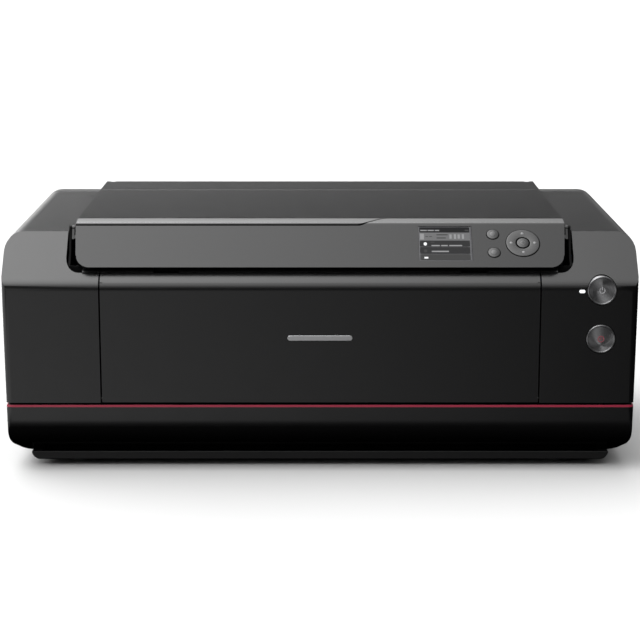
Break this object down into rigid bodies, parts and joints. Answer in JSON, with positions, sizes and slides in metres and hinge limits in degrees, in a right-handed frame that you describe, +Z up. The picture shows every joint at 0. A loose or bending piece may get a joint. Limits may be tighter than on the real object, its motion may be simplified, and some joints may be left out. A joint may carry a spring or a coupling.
{
  "type": "inkjet printer",
  "caption": "Wide desktop inkjet photo printer with sloping control fascia, fold-down output door, hinged lid, print carriage and paper feed inside.",
  "frame": {"origin": "centre of the footprint's bounding box, on the surface that the feet stand on", "axes": "+X to the right seen from the front, +Y towards the back, +Z up; the front faces -Y"},
  "size_m": [0.723, 0.433, 0.285],
  "materials": {
    "charcoal_shell": "fine satin texture",
    "black_shell": "satin",
    "inner_black": "matt",
    "lid_grey": "satin",
    "accent_red": "gloss",
    "rubber_black": "matt",
    "roller_rubber": "ground",
    "steel_sheet": "zinc plated",
    "shaft_steel": "polished",
    "button_metal": "spun",
    "screen_glass": "gloss",
    "key_dark": "semi gloss",
    "lamp_white": "diffuse",
    "plate_silver": "satin",
    "board_green": "solder mask",
    "brass_part": "machined",
    "belt_black": "matt",
    "lever_blue": "satin",
    "film_clear": "clear film",
    "gear_white": "acetal",
    "motor_grey": "satin",
    "tank_body": "gloss"
  },
  "bodies": {
    "printer": {"rubber_feet": "rubber_black", "base_plate": "black_shell", "lower_housing": "black_shell", "accent_strip": "accent_red", "left_front_cover": "charcoal_shell", "right_front_cover": "charcoal_shell", "left_side_cover": "charcoal_shell", "right_side_cover": "charcoal_shell", "rear_cover": "black_shell", "upper_frame": "inner_black", "case_screws": "steel_sheet", "rear_tray": "inner_black", "power_lamp": "lamp_white", "side_frames": "steel_sheet", "carriage_rail": "steel_sheet", "guide_shaft": "shaft_steel", "encoder_strip": "film_clear", "timing_belt": "belt_black", "drive_motors": "motor_grey", "platen": "inner_black", "purge_base": "black_shell", "main_board": "board_green", "power_supply": "motor_grey", "power_inlet": "inner_black", "data_ports": "steel_sheet", "tank_bay": "black_shell", "ink_tanks": "tank_body"},
    "door": {"output_door": "charcoal_shell", "output_tray_panel": "inner_black", "name_plate": "plate_silver"},
    "extension": {"output_extension": "inner_black"},
    "fascia": {"control_fascia": "lid_grey", "lcd_screen": "screen_glass"},
    "home_key": {"home_button": "key_dark"},
    "back_key": {"back_button": "key_dark"},
    "ring_key": {"direction_ring": "key_dark"},
    "ok_key": {"ok_button": "key_dark"},
    "lid": {"top_cover": "lid_grey"},
    "tray_cover": {"rear_tray_cover": "lid_grey"},
    "support_middle": {"paper_support_middle": "inner_black"},
    "support_top": {"paper_support_top": "inner_black"},
    "guide_left": {"paper_guide_left": "inner_black"},
    "guide_right": {"paper_guide_right": "inner_black"},
    "manual_flap": {"manual_feed_tray": "black_shell"},
    "power_key": {"power_button": "button_metal"},
    "stop_key": {"stop_button": "button_metal"},
    "carriage": {"carriage": "black_shell", "print_head": "tank_body"},
    "lock_lever": {"head_lock_lever": "lever_blue"},
    "drive_pulley": {"drive_pulley": "brass_part"},
    "idler_pulley": {"idler_pulley": "gear_white"},
    "feed_roller": {"feed_roller": "roller_rubber"},
    "pinch_rollers": {"pinch_rollers": "roller_rubber"},
    "exit_roller": {"exit_roller": "roller_rubber"},
    "spur_wheels": {"spur_wheels": "shaft_steel"},
    "idler_gear": {"idler_gear": "gear_white"},
    "motor_pinion": {"motor_pinion": "brass_part"},
    "pickup_roller": {"pickup_roller": "roller_rubber"},
    "cap_unit": {"cap_unit": "roller_rubber"},
    "waste_cartridge": {"maintenance_cartridge": "black_shell"}
  },
  "joints": [
    {"name": "door_hinge", "type": "hinge", "parent": "printer", "child": "door", "pos_m": [0, -0.2097, 0.086], "axis": [1, 0, 0], "range_deg": [0, 88]},
    {"name": "extension_slide", "type": "slide", "parent": "door", "child": "extension", "axis": [0, 0, 1], "range_m": [0, 0.105]},
    {"name": "fascia_hinge", "type": "hinge", "parent": "printer", "child": "fascia", "pos_m": [0, -0.1693, 0.277], "axis": [-1, 0, 0], "range_deg": [0, 88]},
    {"name": "home_press", "type": "slide", "parent": "fascia", "child": "home_key", "axis": [0, 0.6756, -0.7373], "range_m": [0, 0.0012], "stiffness_N_per_m": 500},
    {"name": "back_press", "type": "slide", "parent": "fascia", "child": "back_key", "axis": [0, 0.6756, -0.7373], "range_m": [0, 0.0012], "stiffness_N_per_m": 500},
    {"name": "ring_press", "type": "slide", "parent": "fascia", "child": "ring_key", "axis": [0, 0.6756, -0.7373], "range_m": [0, 0.0012], "stiffness_N_per_m": 500},
    {"name": "ok_press", "type": "slide", "parent": "fascia", "child": "ok_key", "axis": [0, 0.6756, -0.7373], "range_m": [0, 0.0012], "stiffness_N_per_m": 500},
    {"name": "lid_hinge", "type": "hinge", "parent": "printer", "child": "lid", "pos_m": [0, 0.0797, 0.279], "axis": [-1, 0, 0], "range_deg": [0, 65]},
    {"name": "tray_cover_hinge", "type": "hinge", "parent": "printer", "child": "tray_cover", "pos_m": [0, 0.1637, 0.279], "axis": [-1, 0, 0], "range_deg": [0, 105]},
    {"name": "support_middle_slide", "type": "slide", "parent": "tray_cover", "child": "support_middle", "axis": [0, -1, 0], "range_m": [0, 0.058]},
    {"name": "support_top_slide", "type": "slide", "parent": "support_middle", "child": "support_top", "axis": [0, -1, 0], "range_m": [0, 0.056]},
    {"name": "guide_right_slide", "type": "slide", "parent": "printer", "child": "guide_right", "axis": [-1, 0, 0], "range_m": [0, 0.1]},
    {"name": "guide_left_slide", "type": "slide", "parent": "printer", "child": "guide_left", "axis": [1, 0, 0], "range_m": [0, 0.1]},
    {"name": "manual_flap_hinge", "type": "hinge", "parent": "printer", "child": "manual_flap", "pos_m": [0, 0.208, 0.128], "axis": [-1, 0, 0], "range_deg": [0, 60]},
    {"name": "power_press", "type": "slide", "parent": "printer", "child": "power_key", "axis": [0, 1, 0], "range_m": [0, 0.0025], "stiffness_N_per_m": 500},
    {"name": "stop_press", "type": "slide", "parent": "printer", "child": "stop_key", "axis": [0, 1, 0], "range_m": [0, 0.0025], "stiffness_N_per_m": 500},
    {"name": "carriage_slide", "type": "slide", "parent": "printer", "child": "carriage", "axis": [-1, 0, 0], "range_m": [0, 0.5]},
    {"name": "lock_lever_hinge", "type": "hinge", "parent": "carriage", "child": "lock_lever", "pos_m": [0.262, -0.0893, 0.231], "axis": [-1, 0, 0], "range_deg": [0, 88]},
    {"name": "drive_pulley_spin", "type": "hinge", "parent": "printer", "child": "drive_pulley", "pos_m": [-0.3, 0.0257, 0.185], "axis": [0, 1, 0], "continuous": true},
    {"name": "idler_pulley_spin", "type": "hinge", "parent": "printer", "child": "idler_pulley", "pos_m": [0.318, 0.0257, 0.185], "axis": [0, 1, 0], "continuous": true},
    {"name": "feed_spin", "type": "hinge", "parent": "printer", "child": "feed_roller", "pos_m": [0, 0.0167, 0.109], "axis": [1, 0, 0], "continuous": true},
    {"name": "pinch_spin", "type": "hinge", "parent": "printer", "child": "pinch_rollers", "pos_m": [0, 0.0167, 0.1243], "axis": [1, 0, 0], "continuous": true},
    {"name": "exit_spin", "type": "hinge", "parent": "printer", "child": "exit_roller", "pos_m": [0, -0.0953, 0.109], "axis": [1, 0, 0], "continuous": true},
    {"name": "spur_spin", "type": "hinge", "parent": "printer", "child": "spur_wheels", "pos_m": [0, -0.0953, 0.1263], "axis": [1, 0, 0], "continuous": true},
    {"name": "idler_gear_spin", "type": "hinge", "parent": "printer", "child": "idler_gear", "pos_m": [-0.334, -0.0393, 0.109], "axis": [1, 0, 0], "continuous": true},
    {"name": "pinion_spin", "type": "hinge", "parent": "printer", "child": "motor_pinion", "pos_m": [-0.334, 0.04244, 0.08326], "axis": [1, 0, 0], "continuous": true},
    {"name": "pickup_spin", "type": "hinge", "parent": "printer", "child": "pickup_roller", "pos_m": [0, 0.0772, 0.1575], "axis": [1, 0, 0], "continuous": true},
    {"name": "cap_slide", "type": "slide", "parent": "printer", "child": "cap_unit", "axis": [0, 0, -1], "range_m": [0, 0.0075], "stiffness_N_per_m": 400, "springref_m": -0.004},
    {"name": "cartridge_slide", "type": "slide", "parent": "printer", "child": "waste_cartridge", "axis": [1, 0, 0], "range_m": [0, 0.15]}
  ],
  "couplings": [
    {"joint": "extension_slide", "follows": "door_hinge", "m_per_rad": 0.0683},
    {"joint": "support_middle_slide", "follows": "tray_cover_hinge", "m_per_rad": 0.0316},
    {"joint": "support_top_slide", "follows": "tray_cover_hinge", "m_per_rad": 0.0305},
    {"joint": "guide_left_slide", "follows": "guide_right_slide", "ratio": 1},
    {"joint": "drive_pulley_spin", "follows": "carriage_slide", "rad_per_m": 125},
    {"joint": "idler_pulley_spin", "follows": "carriage_slide", "rad_per_m": 125},
    {"joint": "idler_gear_spin", "follows": "feed_spin", "ratio": -1},
    {"joint": "exit_spin", "follows": "feed_spin", "ratio": 1},
    {"joint": "pinion_spin", "follows": "feed_spin", "ratio": -3.3333},
    {"joint": "pinch_spin", "follows": "feed_spin", "ratio": -2},
    {"joint": "spur_spin", "follows": "feed_spin", "ratio": -1.125}
  ]
}
